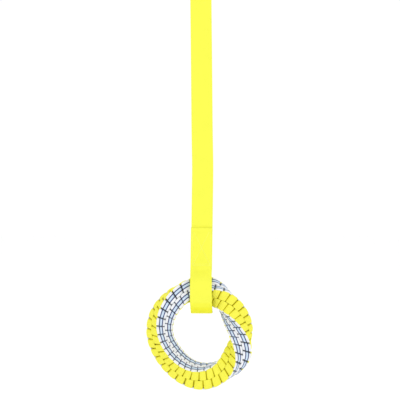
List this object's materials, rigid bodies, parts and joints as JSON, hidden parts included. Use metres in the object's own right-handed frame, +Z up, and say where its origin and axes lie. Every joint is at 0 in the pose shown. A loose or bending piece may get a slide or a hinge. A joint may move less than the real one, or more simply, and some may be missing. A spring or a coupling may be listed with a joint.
{
  "type": "hanging strap swing",
  "caption": "Wide webbing strap with a sewn eye round a square-braided, twisted ring of flat tape, hung from a D-ring and a screw-lock carabiner.",
  "frame": {"origin": "the hang point, at the top of the inside of the carabiner, on its middle plane", "axes": "+Z up, +X across the strap to the viewer's right, +Y away from the viewer; the ring hangs in the XZ plane"},
  "size_m": [0.2505, 0.0828, 1.191],
  "materials": {
    "yellow_webbing": "flat woven webbing, bright yellow",
    "yellow_tape": "flat woven tape, bright yellow",
    "striped_tape": "flat woven tape, white with two thin dark blue lines round a pale blue middle",
    "sewing_thread": "bonded sewing thread, yellow",
    "steel_rod": "bright zinc-plated steel",
    "steel_pins": "plain steel",
    "spring_wire": "spring steel",
    "sleeve_metal": "knurled zinc-plated steel",
    "d_ring_steel": "bright zinc-plated welded steel"
  },
  "bodies": {
    "carabiner": {"carabiner_body": "steel_rod"},
    "gate": {"carabiner_gate": "steel_rod", "gate_rivet": "steel_pins", "nose_pin": "steel_pins", "gate_spring": "spring_wire"},
    "plunger": {"gate_plunger": "steel_pins"},
    "sleeve": {"lock_sleeve": "sleeve_metal"},
    "link": {"d_ring": "d_ring_steel"},
    "strap": {"strap": "yellow_webbing", "lower_stitching": "sewing_thread", "upper_stitching": "sewing_thread"},
    "ring": {"yellow_tape_a": "yellow_tape", "yellow_tape_b": "yellow_tape", "striped_tape_a": "striped_tape", "striped_tape_b": "striped_tape", "tape_end_stitching": "sewing_thread"}
  },
  "joints": [
    {"name": "gate_hinge", "type": "hinge", "parent": "carabiner", "child": "gate", "pos_m": [0, -0.024, -0.06], "axis": [-1, 0, 0], "range_deg": [0, 35], "stiffness_Nm_per_rad": 0.08, "springref_deg": -22.92},
    {"name": "plunger_slide", "type": "slide", "parent": "gate", "child": "plunger", "axis": [0, 0, 1], "range_m": [0, 0.00092], "deforming": ["gate_spring"]},
    {"name": "sleeve_slide", "type": "slide", "parent": "gate", "child": "sleeve", "axis": [0, 0, 1], "range_m": [0, 0.014]},
    {"name": "link_swing", "type": "hinge", "parent": "carabiner", "child": "link", "pos_m": [0, 0, -0.093], "axis": [0, 1, 0], "range_deg": [-70, 70]},
    {"name": "strap_swing", "type": "hinge", "parent": "link", "child": "strap", "pos_m": [0, 0, -0.1257], "axis": [1, 0, 0], "range_deg": [-80, 80]},
    {"name": "ring_tilt", "type": "hinge", "parent": "strap", "child": "ring", "pos_m": [0, 0, -0.9507], "axis": [1, 0, 0], "range_deg": [-90, 90]}
  ],
  "couplings": [
    {"joint": "plunger_slide", "follows": "gate_hinge", "m_per_rad": 0.0015}
  ]
}
